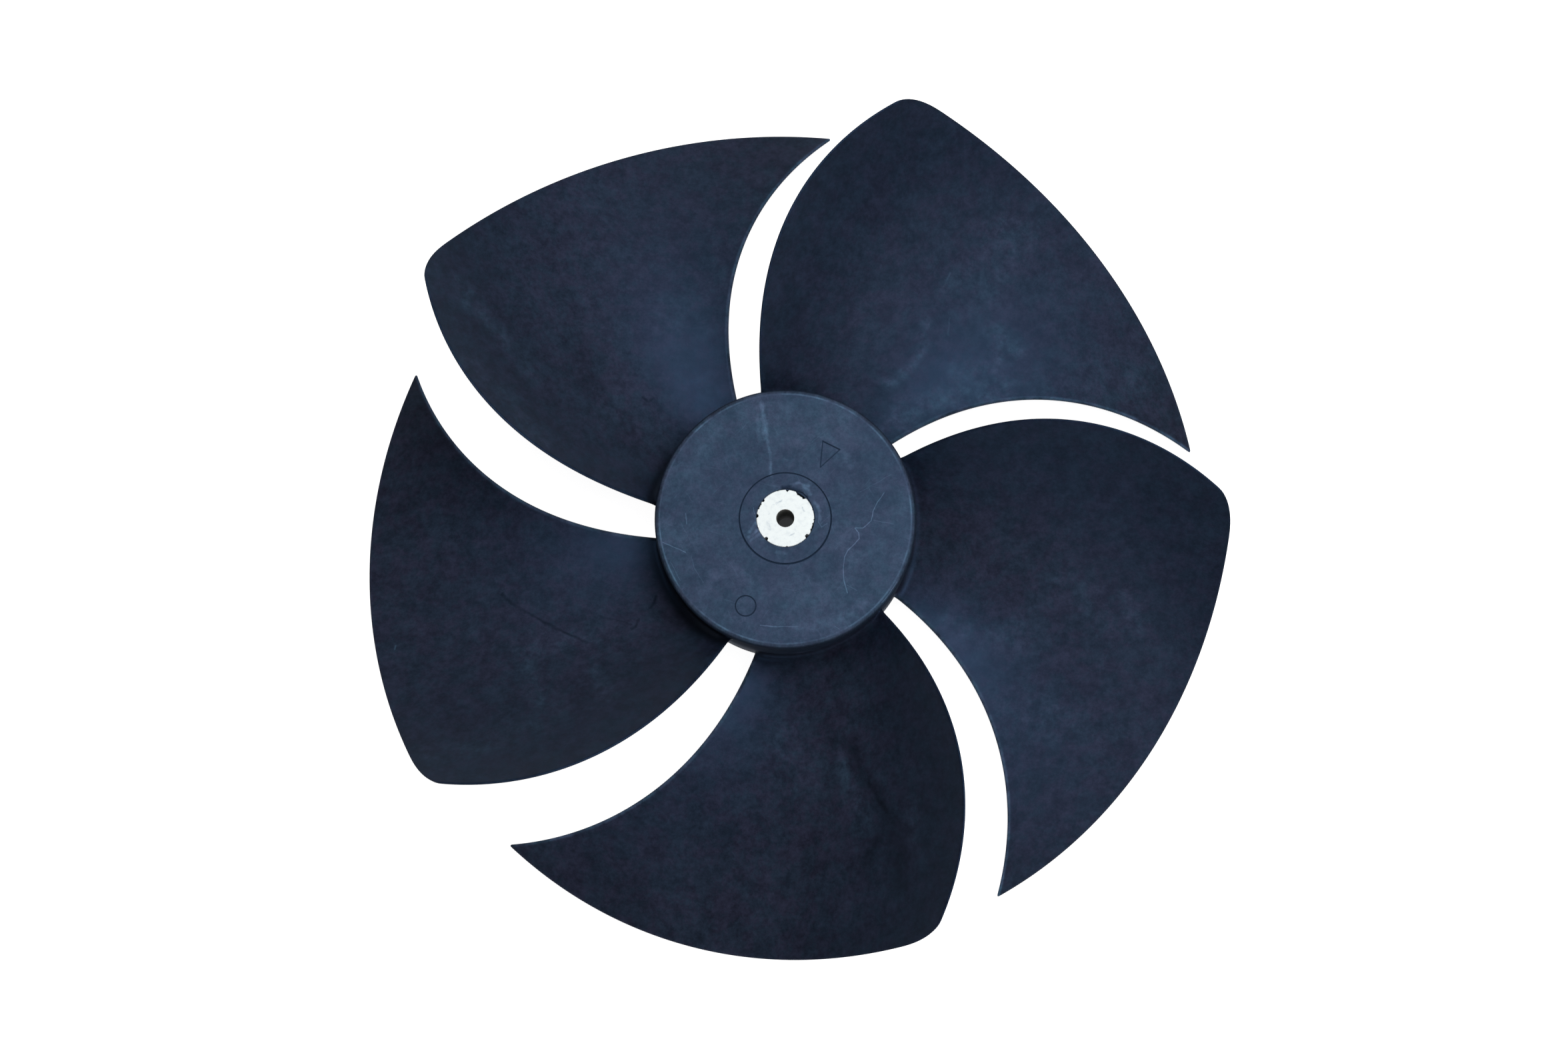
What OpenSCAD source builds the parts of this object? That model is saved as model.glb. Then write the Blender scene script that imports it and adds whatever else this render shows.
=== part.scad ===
// Five-blade axial fan wheel for an outdoor air unit, moulded in one piece around a metal shaft bush.
// The axis is upright and the closed hub face looks up, so the wheel stands on its five leading tips.
// The origin is on the axis at the back end of the bush, where the shaft's shoulder meets it.
// Heights of the blade edges are measured from the hub face, down is negative.

/* [Wheel] */
// Diameter of the circle the blades sweep
wheel_d = 400; // [380:1:420]
// Number of blades
blades = 5; // [3:1:7]

/* [Hub] */
// Outside diameter of the hub
hub_d = 119; // [110:0.5:130]
// Rounding between the hub face and its wall
hub_round = 2.5; // [1:0.1:5]
// Diameter of the wall at the open back of the hub
hub_back_d = 116; // [100:0.5:130]
// Depth of the hub from face to open back
hub_depth = 58; // [40:1:70]
// Thickness of the hub wall
hub_wall = 2.8; // [2:0.1:4]
// Thickness of the closed front of the hub
front_t = 3.4; // [2:0.1:6]
// Fillet in the corners inside the hub
inside_round = 3; // [1:0.5:6]
// Diameter of the boss around the bush where it leaves the front
boss_d = 40; // [34:0.5:46]
// Diameter of the boss at its end
boss_end_d = 38; // [34:0.5:46]

/* [Ribs behind the hub front] */
// Number of ribs between the boss and the wall
ribs = 10; // [5:1:15]
// Thickness of a rib
rib_t = 2.2; // [1.5:0.1:4]
// Depth of a rib at the boss
rib_boss_h = 26; // [10:1:30]
// Depth of a rib at the wall
rib_wall_h = 15; // [5:1:30]

/* [Marks on the hub face] */
// Diameter of the witness ring round the boss
ring_d = 41.7; // [36:0.1:50]
// Width of the witness ring
ring_w = 0.5; // [0.3:0.1:1]
// Depth of all the sunk marks
mark_deep = 0.4; // [0.2:0.1:1]
// Diameter of the blank round mould mark
mould_mark_d = 9.8; // [6:0.1:14]
// Distance of the round mark from the axis
mould_mark_r = 43.8; // [30:0.1:50]
// Direction of the round mark
mould_mark_a = 246; // [0:1:360]
// Distance of the triangle's middle from the axis
triangle_r = 35.7; // [30:0.1:44]
// Width of the triangle's base
triangle_w = 8.7; // [4:0.1:12]
// Length of the triangle towards the axis
triangle_l = 11.3; // [6:0.1:16]
// Direction in which the triangle lies
triangle_a = 57.5; // [0:0.5:360]
// Direction from the triangle's point to its base
triangle_turn = 63.5; // [0:0.5:360]

/* [Bush] */
// Diameter of the metal bush
bush_d = 26.2; // [20:0.1:30]
// Length of the metal bush
bush_l = 28; // [15:0.5:40]
// Diameter of the shaft bore
bore_d = 8; // [6:0.1:12]
// Edge break at the front end of the bore
bore_break = 0.15; // [0:0.05:1]
// Diameter of the locking groove round the bush
groove_d = 22.5; // [18:0.1:26]
// Width of the locking groove
groove_w = 6; // [2:0.5:10]

/* [Blade edges at the hub, middle and tip] */
// Angle of the trailing edge at the hub
trail_hub_a = 28.8; // [0:0.1:60]
// Angle of the trailing edge in the middle
trail_mid_a = 18.4; // [0:0.1:60]
// Angle of the trailing edge at the tip
trail_tip_a = 1.2; // [-20:0.1:60]
// Height of the trailing edge at the hub
trail_hub_z = -9.6; // [-30:0.1:30]
// Height of the trailing edge in the middle
trail_mid_z = 26.4; // [-30:0.1:60]
// Height of the trailing edge at the tip
trail_tip_z = 24.2; // [-30:0.1:60]
// Angle of the leading edge at the hub
lead_hub_a = -32.2; // [-90:0.1:0]
// Angle of the leading edge in the middle
lead_mid_a = -43.6; // [-90:0.1:0]
// Angle of the leading edge at the tip
lead_tip_a = -61.3; // [-90:0.1:0]
// Height of the leading edge at the hub
lead_hub_z = -38.8; // [-80:0.1:0]
// Height of the leading edge in the middle
lead_mid_z = -41.5; // [-80:0.1:0]
// Height of the leading edge at the tip
lead_tip_z = -71.6; // [-90:0.1:0]

/* [Blade section and tip] */
// Sag of a blade section as a share of its length
camber = 0.135; // [0:0.01:0.3]
// Thickness of the blade at the hub
hub_t = 3.4; // [2:0.1:5]
// Thickness of the blade at the tip
tip_t = 2.4; // [1.5:0.1:5]
// Thickness of the trailing edge
trail_t = 1.4; // [1:0.1:3]
// Radius of the fillet between blade and hub
root_fillet = 4; // [1:0.5:8]
// Radius lost between the trailing corner and the leading tip
tip_fall = 4.3; // [0:0.1:10]
// Length of the rounded trailing corner along the trailing edge
corner_r = 7; // [5:0.5:30]
// Length of the rounded trailing corner along the tip, as a share of the section
corner_v = 0.07; // [0.02:0.005:0.15]
// Squareness of the rounded trailing corner, where 2 is an ellipse
corner_p = 2.7; // [1.6:0.1:4]
// Length of the blunt leading tip along the leading edge
blunt_r = 1.2; // [1:0.5:10]
// Length of the blunt leading tip along the tip, as a share of the section
blunt_v = 0.008; // [0.002:0.002:0.028]

/* [Hidden] */
$fn = 96;
wheel_r = wheel_d / 2;
hub_r = hub_d / 2;
hub_back_r = hub_back_d / 2;
inner_r = hub_r - hub_wall - 0.5;
bush_r = bush_d / 2;
mid_r = 130;
span_half = 70;
root_in = 1.8;

// direction, diameter and depth of the notches in the rim of the bush
notches = [
    [86, 1.6, 0.9], [56, 10, 0.95], [342, 12, 0.4], [320.5, 2, 1.1], [273, 1.2, 0.3],
    [227.5, 1.8, 1.1], [175, 2, 0.85], [154, 9, 0.35], [141, 1.5, 0.7]
];

// places across the blade from trailing to leading edge, and out along it from hub to tip
corner_steps = [for (i = [0:5]) corner_v * (1 - pow(cos(i * 18), 2 / corner_p))];
middle_steps = [0.16, 0.2, 0.25, 0.3, 0.37, 0.44, 0.51, 0.58, 0.65, 0.72, 0.79, 0.85, 0.9, 0.94, 0.97];
blunt_steps = [for (i = [0:2]) 1 - blunt_v * (1 - sin(i * 45))];
across = concat(corner_steps, [(corner_v + middle_steps[0]) / 2], middle_steps, blunt_steps);
fillet_steps = [-root_in, -0.4, 0.5, 1.2, 2.3, root_fillet];
out_steps = [0.09, 0.17, 0.26, 0.35, 0.44, 0.53, 0.62, 0.7, 0.78, 0.85, 0.91, 0.96, 1];

// a value that passes through three values given at the hub, middle and tip
function through(a, b, c, r) =
    let (t = (r - mid_r) / span_half)
    b + (c - a) / 2 * t + ((a + c) / 2 - b) * t * t;

function trail_a(r) = through(trail_hub_a, trail_mid_a, trail_tip_a, r);
function trail_z(r) = through(trail_hub_z, trail_mid_z, trail_tip_z, r);
function lead_a(r) = through(lead_hub_a, lead_mid_a, lead_tip_a, r);
function lead_z(r) = through(lead_hub_z, lead_mid_z, lead_tip_z, r);

// length of the section at radius r, as an arc round the axis
function arc(r) = (trail_a(r) - lead_a(r)) * PI / 180 * r;

// height of the section's middle line at share v of the way from trailing to leading edge
function line_z(r, v) = trail_z(r) + (lead_z(r) - trail_z(r)) * v - 4 * camber * arc(r) * v * (1 - v);

// direction of the middle line as [round the axis, up], pointing to the leading edge
function line_dir(r, v) =
    let (s = -arc(r), z = lead_z(r) - trail_z(r) - 4 * camber * arc(r) * (1 - 2 * v), l = sqrt(s * s + z * z))
    [s / l, z / l];

// half the thickness: thin at the trailing edge, full from the middle on, with the fillet at the hub
function body_t(r) = hub_t + (tip_t - hub_t) * (r - hub_r) / (wheel_r - hub_r);
function half_t(r, v) = (trail_t + (body_t(r) - trail_t) * sin(90 * min(1, v / 0.45))) / 2;
function wall_r(z) = hub_r - (hub_r - hub_back_r) * max(0, -z - hub_round) / (hub_depth - hub_round);
function fillet(x) =
    let (gap = root_fillet - min(root_fillet, max(0.04 * root_fillet, x)))
    root_fillet - sqrt(pow(root_fillet, 2) - pow(gap, 2));
// the fillet runs out towards the edges, so that the gaps between the blades end square at the hub
function run_out(v) = min(1, 0.1 + 12 * min(v, 1 - v));

// outer end of the blade at share v, with the rounded trailing corner and the blunt leading tip
function corner_loss(v) =
    v >= corner_v ? 0 : corner_r * (1 - pow(1 - pow(1 - v / corner_v, corner_p), 1 / corner_p));
function blunt_loss(v) = v <= 1 - blunt_v ? 0 : blunt_r * (1 - sqrt(max(0, 1 - pow((v - 1 + blunt_v) / blunt_v, 2))));
function end_r(v) = wheel_r - tip_fall * v - corner_loss(v) - blunt_loss(v);

// radius of one place on the blade: row k out along it, share v across it
function root_r(v) = wall_r(line_z(hub_r - 1, v));
function place_r(k, v) =
    k < len(fillet_steps)
    ? root_r(v) + fillet_steps[k]
    : root_r(v) + root_fillet + out_steps[k - len(fillet_steps)] * (end_r(v) - root_r(v) - root_fillet);

// a point beside the middle line: turn 0 is the upper face, 90 the nose, 180 the lower face
function skin(k, v, turn) =
    let (r = place_r(k, v))
    let (v_in = (half_t(r, 0) + v * (arc(r) - half_t(r, 0) - half_t(r, 1))) / arc(r))
    let (t = half_t(r, v) + run_out(v) * fillet(r - root_r(v)))
    let (d = line_dir(r, v_in))
    let (along = t * sin(turn), up = t * cos(turn))
    let (a = trail_a(r) + (lead_a(r) - trail_a(r)) * v_in + (along * d[0] + up * d[1]) / r * 180 / PI)
    [r * cos(a), r * sin(a), line_z(r, v_in) + along * d[1] - up * d[0]];

// one loop round the blade at row k: upper face, leading nose, lower face, trailing nose
function loop(k) = concat(
    [for (v = across) skin(k, v, 0)],
    [for (turn = [45, 90, 135]) skin(k, 1, turn)],
    [for (i = [len(across) - 1:-1:0]) skin(k, across[i], 180)],
    [skin(k, 0, 270)]
);

module blade() {
    rows = len(fillet_steps) + len(out_steps);
    n = 2 * len(across) + 4;
    top = len(across) - 1;
    skin_points = [for (k = [0:rows - 1]) each loop(k)];
    side_a = [for (k = [0:rows - 2], i = [0:n - 1]) [k * n + i, (k + 1) * n + (i + 1) % n, k * n + (i + 1) % n]];
    side_b = [for (k = [0:rows - 2], i = [0:n - 1]) [k * n + i, (k + 1) * n + i, (k + 1) * n + (i + 1) % n]];
    // the two ends are closed by strips between the faces and fans over the noses
    strip_a = [for (i = [0:top - 1]) [i, i + 1, n - 2 - i]];
    strip_b = [for (i = [0:top - 1]) [i + 1, n - 3 - i, n - 2 - i]];
    noses = [[top, top + 1, top + 2], [top, top + 2, top + 3], [top, top + 3, top + 4], [0, n - 2, n - 1]];
    cap = concat(strip_a, strip_b, noses);
    last = (rows - 1) * n;
    tip_cap = [for (f = cap) [f[2] + last, f[1] + last, f[0] + last]];
    polyhedron(skin_points, concat(side_a, side_b, cap, tip_cap));
}

// half section of the hub: closed front, wall with draft and boss, as one closed outline
module hub_section() {
    difference() {
        polygon([
            [0, 0], [hub_r, 0], [hub_r, -hub_round], [hub_back_r, -hub_depth],
            [hub_back_r - hub_wall, -hub_depth], [inner_r, -front_t],
            [boss_d / 2, -front_t], [boss_end_d / 2, -bush_l], [0, -bush_l]
        ]);
        // rounded edge between face and wall
        corner_round(hub_r - hub_round, -hub_round, hub_round) square(hub_round + 1);
    }
    // fillets behind the front, at the wall and at the boss
    corner_round(inner_r - inside_round, -front_t - inside_round, inside_round)
        square([inside_round + 0.4, inside_round + 0.4]);
    corner_round(boss_d / 2 + inside_round, -front_t - inside_round, inside_round)
        translate([-inside_round - 0.4, 0]) square([inside_round + 0.4, inside_round + 0.4]);
}

// the corner that is left of the child, drawn from the centre of the round, outside the round
module corner_round(x, y, r) {
    translate([x, y]) difference() {
        children();
        circle(r);
    }
}

// rib between boss and wall, drawn from the side
module rib() {
    rotate([90, 0, 0]) linear_extrude(rib_t, center = true) polygon([
        [boss_end_d / 2 - 2, -front_t + 1], [hub_r - hub_wall, -front_t + 1],
        [hub_r - hub_wall, -rib_wall_h], [boss_end_d / 2 - 2, -rib_boss_h]
    ]);
}

// outside of the bush with its locking groove and notched rim, without the bore
module bush_body() {
    difference() {
        cylinder(h = bush_l, d = bush_d);
        translate([0, 0, (bush_l - groove_w) / 2]) difference() {
            cylinder(h = groove_w, d = bush_d + 2);
            cylinder(h = groove_w, d = groove_d);
        }
        for (n = notches)
            rotate(n[0]) translate([bush_r - n[2] + n[1] / 2, 0, -1]) cylinder(h = bush_l + 2, d = n[1]);
    }
}

module marks() {
    // witness ring round the boss
    translate([0, 0, -mark_deep]) difference() {
        cylinder(h = 1, d = ring_d + ring_w);
        cylinder(h = 1, d = ring_d - ring_w);
    }
    // blank round mark
    rotate(mould_mark_a) translate([mould_mark_r, 0, -mark_deep]) difference() {
        cylinder(h = 1, d = mould_mark_d);
        cylinder(h = 1, d = mould_mark_d - 2 * ring_w);
    }
    // triangle, set a little askew of the line to the shaft
    rotate(triangle_a) translate([triangle_r, 0, -mark_deep]) rotate(triangle_turn - triangle_a) linear_extrude(1)
        polygon([
            [triangle_l / 3, -triangle_w / 2], [triangle_l / 3, triangle_w / 2], [-2 / 3 * triangle_l, 0]
        ]);
}

module hub() {
    difference() {
        union() {
            rotate_extrude() hub_section();
            for (i = [0:ribs - 1]) rotate(i * 360 / ribs) rib();
        }
        translate([0, 0, -bush_l]) bush_body();
        marks();
    }
}

module fan_wheel() color("#1c2430") translate([0, 0, bush_l]) {
    hub();
    for (i = [0:blades - 1]) rotate(i * 360 / blades) blade();
}

module shaft_bush() color("#c9cdd0") difference() {
    bush_body();
    translate([0, 0, -1]) cylinder(h = bush_l + 2, d = bore_d);
    // broken edge at the front of the bore
    translate([0, 0, bush_l - bore_break])
        cylinder(h = 2 * bore_break, d1 = bore_d, d2 = bore_d + 4 * bore_break);
}

fan_wheel();
shaft_bush();
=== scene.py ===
# Axial fan wheel of an outdoor air unit, dressed over its solids.
# The wheel lies on its five leading blade tips and the closed face of the hub looks up.
import math

import bmesh
import bpy
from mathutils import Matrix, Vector


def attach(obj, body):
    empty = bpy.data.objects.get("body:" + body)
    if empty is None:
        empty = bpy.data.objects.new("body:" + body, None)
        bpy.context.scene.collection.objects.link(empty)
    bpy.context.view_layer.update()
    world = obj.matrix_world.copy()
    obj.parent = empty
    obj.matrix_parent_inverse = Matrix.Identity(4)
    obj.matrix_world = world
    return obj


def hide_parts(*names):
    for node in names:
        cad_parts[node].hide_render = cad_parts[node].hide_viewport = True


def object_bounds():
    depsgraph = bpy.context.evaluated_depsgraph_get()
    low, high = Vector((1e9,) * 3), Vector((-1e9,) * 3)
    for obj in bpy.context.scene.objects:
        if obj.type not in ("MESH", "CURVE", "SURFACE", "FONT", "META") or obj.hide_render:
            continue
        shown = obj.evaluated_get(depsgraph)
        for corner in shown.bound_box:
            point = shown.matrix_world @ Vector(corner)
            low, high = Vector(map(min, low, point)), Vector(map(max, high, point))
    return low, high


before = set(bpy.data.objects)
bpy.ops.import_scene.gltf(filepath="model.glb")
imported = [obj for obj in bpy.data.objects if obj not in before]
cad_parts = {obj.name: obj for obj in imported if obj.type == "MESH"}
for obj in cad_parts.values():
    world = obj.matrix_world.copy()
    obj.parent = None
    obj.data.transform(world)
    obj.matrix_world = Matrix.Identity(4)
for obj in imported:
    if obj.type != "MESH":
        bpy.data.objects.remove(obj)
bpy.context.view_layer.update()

# Camera
# It hangs 1.45 m above the hub face, eight degrees off the shaft's axis towards the lower edge of
# the picture, with the wheel's +X to the right.
face_height = 0.028
camera_distance = 1.446
camera_lean = math.radians(8.0)
camera_side = math.radians(-81.04)
picture_width = 2352
picture_height = 1568
sensor_width = 36
pixels_per_metre = 3305.0
hub_in_picture = (1177.9, 777.6)

toward_camera = Vector((
    math.sin(camera_lean) * math.cos(camera_side),
    math.sin(camera_lean) * math.sin(camera_side),
    math.cos(camera_lean),
))
picture_right = (Vector((1, 0, 0)) - toward_camera * toward_camera.x).normalized()
picture_up = toward_camera.cross(picture_right)
camera = bpy.data.objects.new("camera", bpy.data.cameras.new("camera"))
bpy.context.collection.objects.link(camera)
camera.matrix_world.col[0].xyz = picture_right
camera.matrix_world.col[1].xyz = picture_up
camera.matrix_world.col[2].xyz = toward_camera
camera.matrix_world.col[3].xyz = Vector((0, 0, face_height)) + toward_camera * camera_distance
camera.data.sensor_width = sensor_width
camera.data.lens = sensor_width * pixels_per_metre * camera_distance / picture_width
camera.data.shift_x = (picture_width / 2 - hub_in_picture[0]) / picture_width
camera.data.shift_y = (hub_in_picture[1] - picture_height / 2) / picture_width
camera.data.clip_end = 20
bpy.context.scene.camera = camera

# Hub
# A closed cup of dark moulded plastic, turned in form: flat face, rounded edge, a wall with draft
# and a boss round the bush. The face carries a witness ring, a sunk triangle and a blank round mark.
mm = 0.001
face_z = 28 * mm
hub_radius = 59.5 * mm
hub_back_radius = 58 * mm
hub_depth = 58 * mm
hub_edge_round = 2.5 * mm
wall = 2.8 * mm
front = 3.4 * mm
boss_radius = 20 * mm
boss_end_radius = 19 * mm
# a little wider than the bush, as the plastic has shrunk away from it
seat_radius = 13.17 * mm
ring_radius = 20.85 * mm
ring_depth = 0.35 * mm
# the marks are sunk into the face; directions are seen from the axis
mark_depth = 0.3 * mm
mark_radius = 4.62 * mm
mark_distance = 43.8 * mm
mark_direction = math.radians(246)
mark_center = (mark_distance * math.cos(mark_direction), mark_distance * math.sin(mark_direction))
triangle_distance = 35.7 * mm
triangle_direction = math.radians(57.5)
triangle_turn = math.radians(63.5)
triangle = [
    (
        triangle_distance * math.cos(triangle_direction)
        + x * math.cos(triangle_turn) - y * math.sin(triangle_turn),
        triangle_distance * math.sin(triangle_direction)
        + x * math.sin(triangle_turn) + y * math.cos(triangle_turn),
    )
    for x, y in ((3.8 * mm, -4.35 * mm), (3.8 * mm, 4.35 * mm), (-7.5 * mm, 0))
]


class Term:
    """A value on a wire of a node tree, so that a formula reads as it is written."""

    def __init__(self, tree, socket):
        self.tree = tree
        self.socket = socket

    def math(self, operation, *others):
        node = self.tree.nodes.new("ShaderNodeMath")
        node.operation = operation
        for place, value in zip(node.inputs, (self, *others)):
            give(self.tree, place, value)
        return Term(self.tree, node.outputs[0])

    def __add__(self, other):
        return self.math("ADD", other)

    def __radd__(self, other):
        return self.math("ADD", other)

    def __sub__(self, other):
        return self.math("SUBTRACT", other)

    def __rsub__(self, other):
        return (self * -1) + other

    def __mul__(self, other):
        return self.math("MULTIPLY", other)

    def __rmul__(self, other):
        return self.math("MULTIPLY", other)

    def __truediv__(self, other):
        return self.math("DIVIDE", other)

    def __rtruediv__(self, other):
        return self.power(-1) * other

    def power(self, other):
        return self.math("POWER", other)

    def root(self):
        return self.at_least(0).math("SQRT")

    def at_least(self, other):
        return self.math("MAXIMUM", other)

    def at_most(self, other):
        return self.math("MINIMUM", other)

    def ramp(self, low, high, low_out=0.0, high_out=1.0):
        """Smooth step from low_out at low to high_out at high."""
        node = self.tree.nodes.new("ShaderNodeMapRange")
        node.interpolation_type = "SMOOTHSTEP"
        for place, value in zip(node.inputs, (self, low, high, low_out, high_out)):
            give(self.tree, place, value)
        return Term(self.tree, node.outputs[0])


def give(tree, place, value):
    """Puts a wire or a plain value into a socket."""
    if isinstance(value, Term):
        tree.links.new(value.socket, place)
    else:
        place.default_value = value


def node(tree, kind, settings=(), **inputs):
    """A node with its settings and inputs. Spaces in socket names are written as underscores."""
    made = tree.nodes.new(kind)
    for name, value in dict(settings).items():
        setattr(made, name, value)
    for name, value in inputs.items():
        give(tree, made.inputs[name.replace("_", " ")], value)
    return made


def out(made, name=0):
    return Term(made.id_data, made.outputs[name])


def group(name, kind, inputs, outputs):
    """An empty node group with named sockets: its tree, its inputs as terms and its output node."""
    tree = bpy.data.node_groups.new(name, kind)
    for label, socket_kind, value in inputs:
        made = tree.interface.new_socket(label, in_out="INPUT", socket_type="NodeSocket" + socket_kind)
        if value is not None:
            made.default_value = value
    for label, socket_kind in outputs:
        tree.interface.new_socket(label, in_out="OUTPUT", socket_type="NodeSocket" + socket_kind)
    start = tree.nodes.new("NodeGroupInput")
    terms = {s.name: Term(tree, s) for s in start.outputs if s.name}
    return tree, terms, tree.nodes.new("NodeGroupOutput")


def place(tree, used, **inputs):
    """A node group placed in a material with its own values."""
    made = tree.nodes.new("ShaderNodeGroup")
    made.node_tree = used
    for name, value in inputs.items():
        give(tree, made.inputs[name.replace("_", " ")], value)
    return made


def finish(name, roughness=0.5, tint=(1, 1, 1), ior=1.5, metallic=0.0):
    """A new material: its tree, its shader node and the point on the object in metres."""
    material = bpy.data.materials.new(name)
    material.use_nodes = True
    tree = material.node_tree
    shader = tree.nodes["Principled BSDF"]
    shader.inputs["Roughness"].default_value = roughness
    shader.inputs["Specular Tint"].default_value = (*tint, 1)
    shader.inputs["IOR"].default_value = ior
    shader.inputs["Metallic"].default_value = metallic
    point = out(node(tree, "ShaderNodeTexCoord"), "Object")
    return material, tree, shader, point


def noise(tree, point, size, detail=4.0, rough=0.55, stretch=None, turn=0.0):
    """Cloudy noise with features of about the given size in metres, from 0 to 1."""
    if stretch:
        point = out(node(tree, "ShaderNodeMapping", {"vector_type": "TEXTURE"}, Vector=point, Scale=stretch,
                         Rotation=(0, 0, turn)))
    made = node(tree, "ShaderNodeTexNoise", Vector=point, Scale=1 / size, Detail=detail, Roughness=rough)
    return out(made, "Fac")


def blend(tree, share, low, high):
    """Mixes two colours."""
    made = tree.nodes.new("ShaderNodeMix")
    made.data_type = "RGBA"
    for socket, value in ((made.inputs[0], share), (made.inputs[6], low), (made.inputs[7], high)):
        give(tree, socket, (*value, 1) if isinstance(value, tuple) and len(value) == 3 else value)
    return Term(tree, made.outputs[2])


def vector_math(tree, operation, *values, output=0):
    """A sum, product, length or the like of vectors."""
    made = tree.nodes.new("ShaderNodeVectorMath")
    made.operation = operation
    for socket, value in zip(made.inputs, values):
        give(tree, socket, value)
    return Term(tree, made.outputs[output])


def scaled(tree, vector, factor):
    """A vector or a colour times a value."""
    made = node(tree, "ShaderNodeVectorMath", {"operation": "SCALE"}, Scale=factor)
    give(tree, made.inputs[0], vector)
    return out(made)


def wobbled(tree, point, size, amount):
    """The point pushed about by noise, so that lines and patches drawn on it aren't ruled."""
    push = node(tree, "ShaderNodeTexNoise", Vector=point, Scale=1 / size, Detail=3.0)
    centred = vector_math(tree, "SUBTRACT", out(push, "Color"), (0.5, 0.5, 0.5))
    flat_push = vector_math(tree, "MULTIPLY", centred, (2 * amount, 2 * amount, 0))
    return vector_math(tree, "ADD", point, flat_push)


def cover(tree, shader, looks, rougher=0.0):
    """Wires placed plastic to the shader of its material."""
    give(tree, shader.inputs["Base Color"], out(looks, "Color"))
    give(tree, shader.inputs["Roughness"], out(looks, "Roughness") + rougher)
    bump = node(tree, "ShaderNodeBump", Height=out(looks, "Height"), Strength=0.35, Distance=0.0001)
    give(tree, shader.inputs["Normal"], out(bump))


def piece(name, mesh, material, node_name):
    """A finished piece that stands for its solid and moves with it."""
    made = bpy.data.objects.new(name, mesh)
    bpy.context.collection.objects.link(made)
    mesh.materials.clear()
    mesh.materials.append(material)
    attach(made, "root")
    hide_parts(node_name)
    return made


# moulded plastic: deep navy black with a faint cloudy bloom, fine grain, lighter where it is worn and where
# sheen and highlights are painted on, and near black where dirt has settled and where shade is painted in
plastic_tree, plastic, plastic_out = group(
    "moulded_plastic",
    "ShaderNodeTree",
    [("Point", "Vector", None), ("Deep", "Color", (0.01, 0.02, 0.04, 1)),
     ("Worn", "Color", (0.1, 0.15, 0.2, 1)), ("Wear", "Float", 0.0), ("Dirt", "Float", 0.0),
     ("Bloom", "Float", 0.3), ("Grain", "Float", 0.2), ("Uneven", "Float", 0.5),
     ("Tint drift", "Float", 1.0)],
    [("Color", "Color"), ("Roughness", "Float"), ("Height", "Float")],
)
cloud = noise(plastic_tree, plastic["Point"], 0.030, 6, 0.6).ramp(0.38, 0.70)
patch = noise(plastic_tree, plastic["Point"], 0.008, 6, 0.75).ramp(0.34, 0.66)
mottle = noise(plastic_tree, plastic["Point"], 0.0024, 5, 0.8).ramp(0.34, 0.66)
grain = noise(plastic_tree, plastic["Point"], 0.00035, 2)
hue = noise(plastic_tree, plastic["Point"], 0.012, 7, 0.8).ramp(0.32, 0.68)
hue = (hue - 0.5) * plastic["Tint drift"] + 0.5
share = (plastic["Bloom"] * (cloud * 0.6 + mottle * 0.4) + plastic["Wear"]).at_most(1)
body = blend(plastic_tree, share, plastic["Deep"], plastic["Worn"])
violet = vector_math(plastic_tree, "MULTIPLY", body, (1.12, 0.96, 1.0))
teal = vector_math(plastic_tree, "MULTIPLY", body, (0.88, 1.04, 1.0))
body = blend(plastic_tree, hue, violet, teal)
uneven = plastic["Uneven"] * (patch * 0.6 + mottle * 0.4 - 0.5) + 1
body = scaled(plastic_tree, body, uneven)
# one near-black colour for dirt and for painted shade
dirt_and_shade_colour = (0.003, 0.004, 0.007)
give(plastic_tree, plastic_out.inputs["Color"], blend(plastic_tree, plastic["Dirt"], body, dirt_and_shade_colour))
roughness = 0.40 + cloud * 0.06 + mottle * 0.08 + plastic["Wear"] * 0.12
give(plastic_tree, plastic_out.inputs["Roughness"], roughness)
give(plastic_tree, plastic_out.inputs["Height"], grain * plastic["Grain"] + mottle * 0.15)

# one straight stretch of a scratch, as a soft line from one point of the face to another
scratch_tree, scratch, scratch_out = group(
    "scratch",
    "ShaderNodeTree",
    [("Point", "Vector", None), ("From", "Vector", None), ("Step", "Vector", None),
     ("Width", "Float", 0.0003), ("Strength", "Float", 0.5)],
    [("Mask", "Float")],
)
offset = vector_math(scratch_tree, "SUBTRACT", scratch["Point"], scratch["From"])
along = vector_math(scratch_tree, "DOT_PRODUCT", offset, scratch["Step"], output="Value")
full = vector_math(scratch_tree, "DOT_PRODUCT", scratch["Step"], scratch["Step"], output="Value")
share = (along / full).at_least(0).at_most(1)
nearest = scaled(scratch_tree, scratch["Step"], share)
gap = vector_math(scratch_tree, "DISTANCE", offset, nearest, output="Value")
mask = (gap / scratch["Width"]).ramp(0.0, 1.0, 1.0, 0.0) * scratch["Strength"]
give(scratch_tree, scratch_out.inputs["Mask"], mask)


def scratches(tree, point, lines):
    """The strongest of many scratch lines, each a width, a strength and points in millimetres."""
    strongest = None
    for width, strength, points in lines:
        for a, b in zip(points, points[1:]):
            start = (a[0] * mm, a[1] * mm, 0)
            move = ((b[0] - a[0]) * mm, (b[1] - a[1]) * mm, 0)
            mask = out(place(tree, scratch_tree, Point=point, From=start, Step=move, Width=width * mm,
                             Strength=strength))
            strongest = mask if strongest is None else strongest.at_least(mask)
    return strongest


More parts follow.
